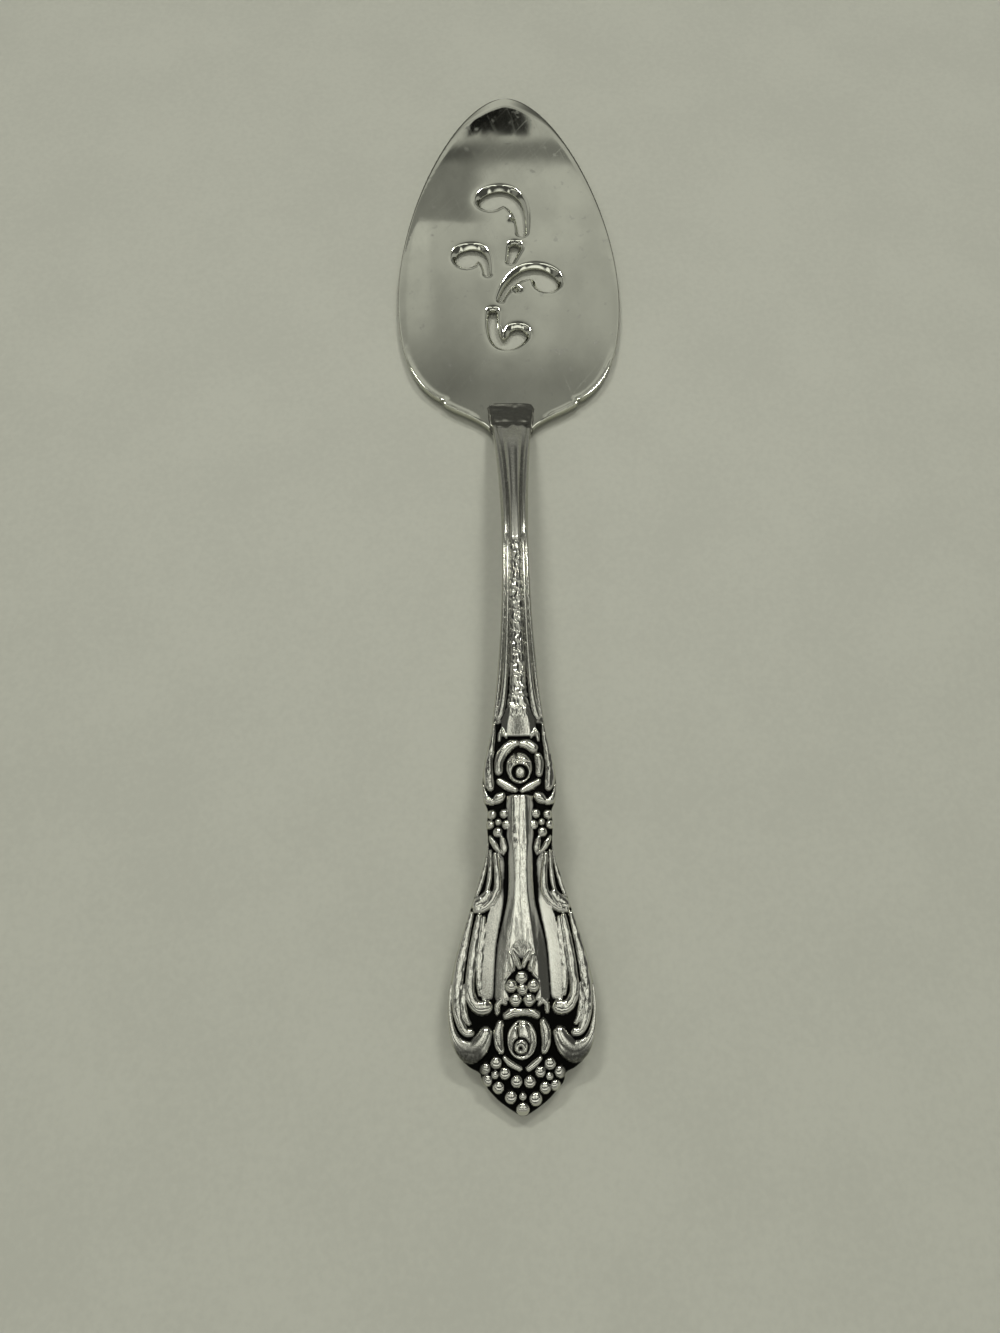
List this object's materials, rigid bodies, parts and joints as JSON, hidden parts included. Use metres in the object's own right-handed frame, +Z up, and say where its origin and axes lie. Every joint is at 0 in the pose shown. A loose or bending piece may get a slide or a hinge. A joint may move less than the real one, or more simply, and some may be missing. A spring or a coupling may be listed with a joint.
{
  "type": "pie server",
  "caption": "Pierced steel pie server: a flat spade blade with comma cut-outs, brazed under the foot of an arched handle with a struck rose, berry and scroll relief.",
  "frame": {"origin": "on the surface the server lies on, under the middle of its length and width", "axes": "+Y along the server from the handle's butt to the blade's tip, +Z up out of the blade's upper face, +X to the right seen from the handle"},
  "size_m": [0.0536, 0.248, 0.0162],
  "materials": {
    "polished_steel": "polished, with faint scratches from use",
    "struck_steel": "polished relief, darkened in its recesses",
    "filler_metal": "dull brazed seam"
  },
  "bodies": {
    "root": {"blade": "polished_steel", "handle": "struck_steel", "heel_braze": "filler_metal"}
  },
  "joints": []
}
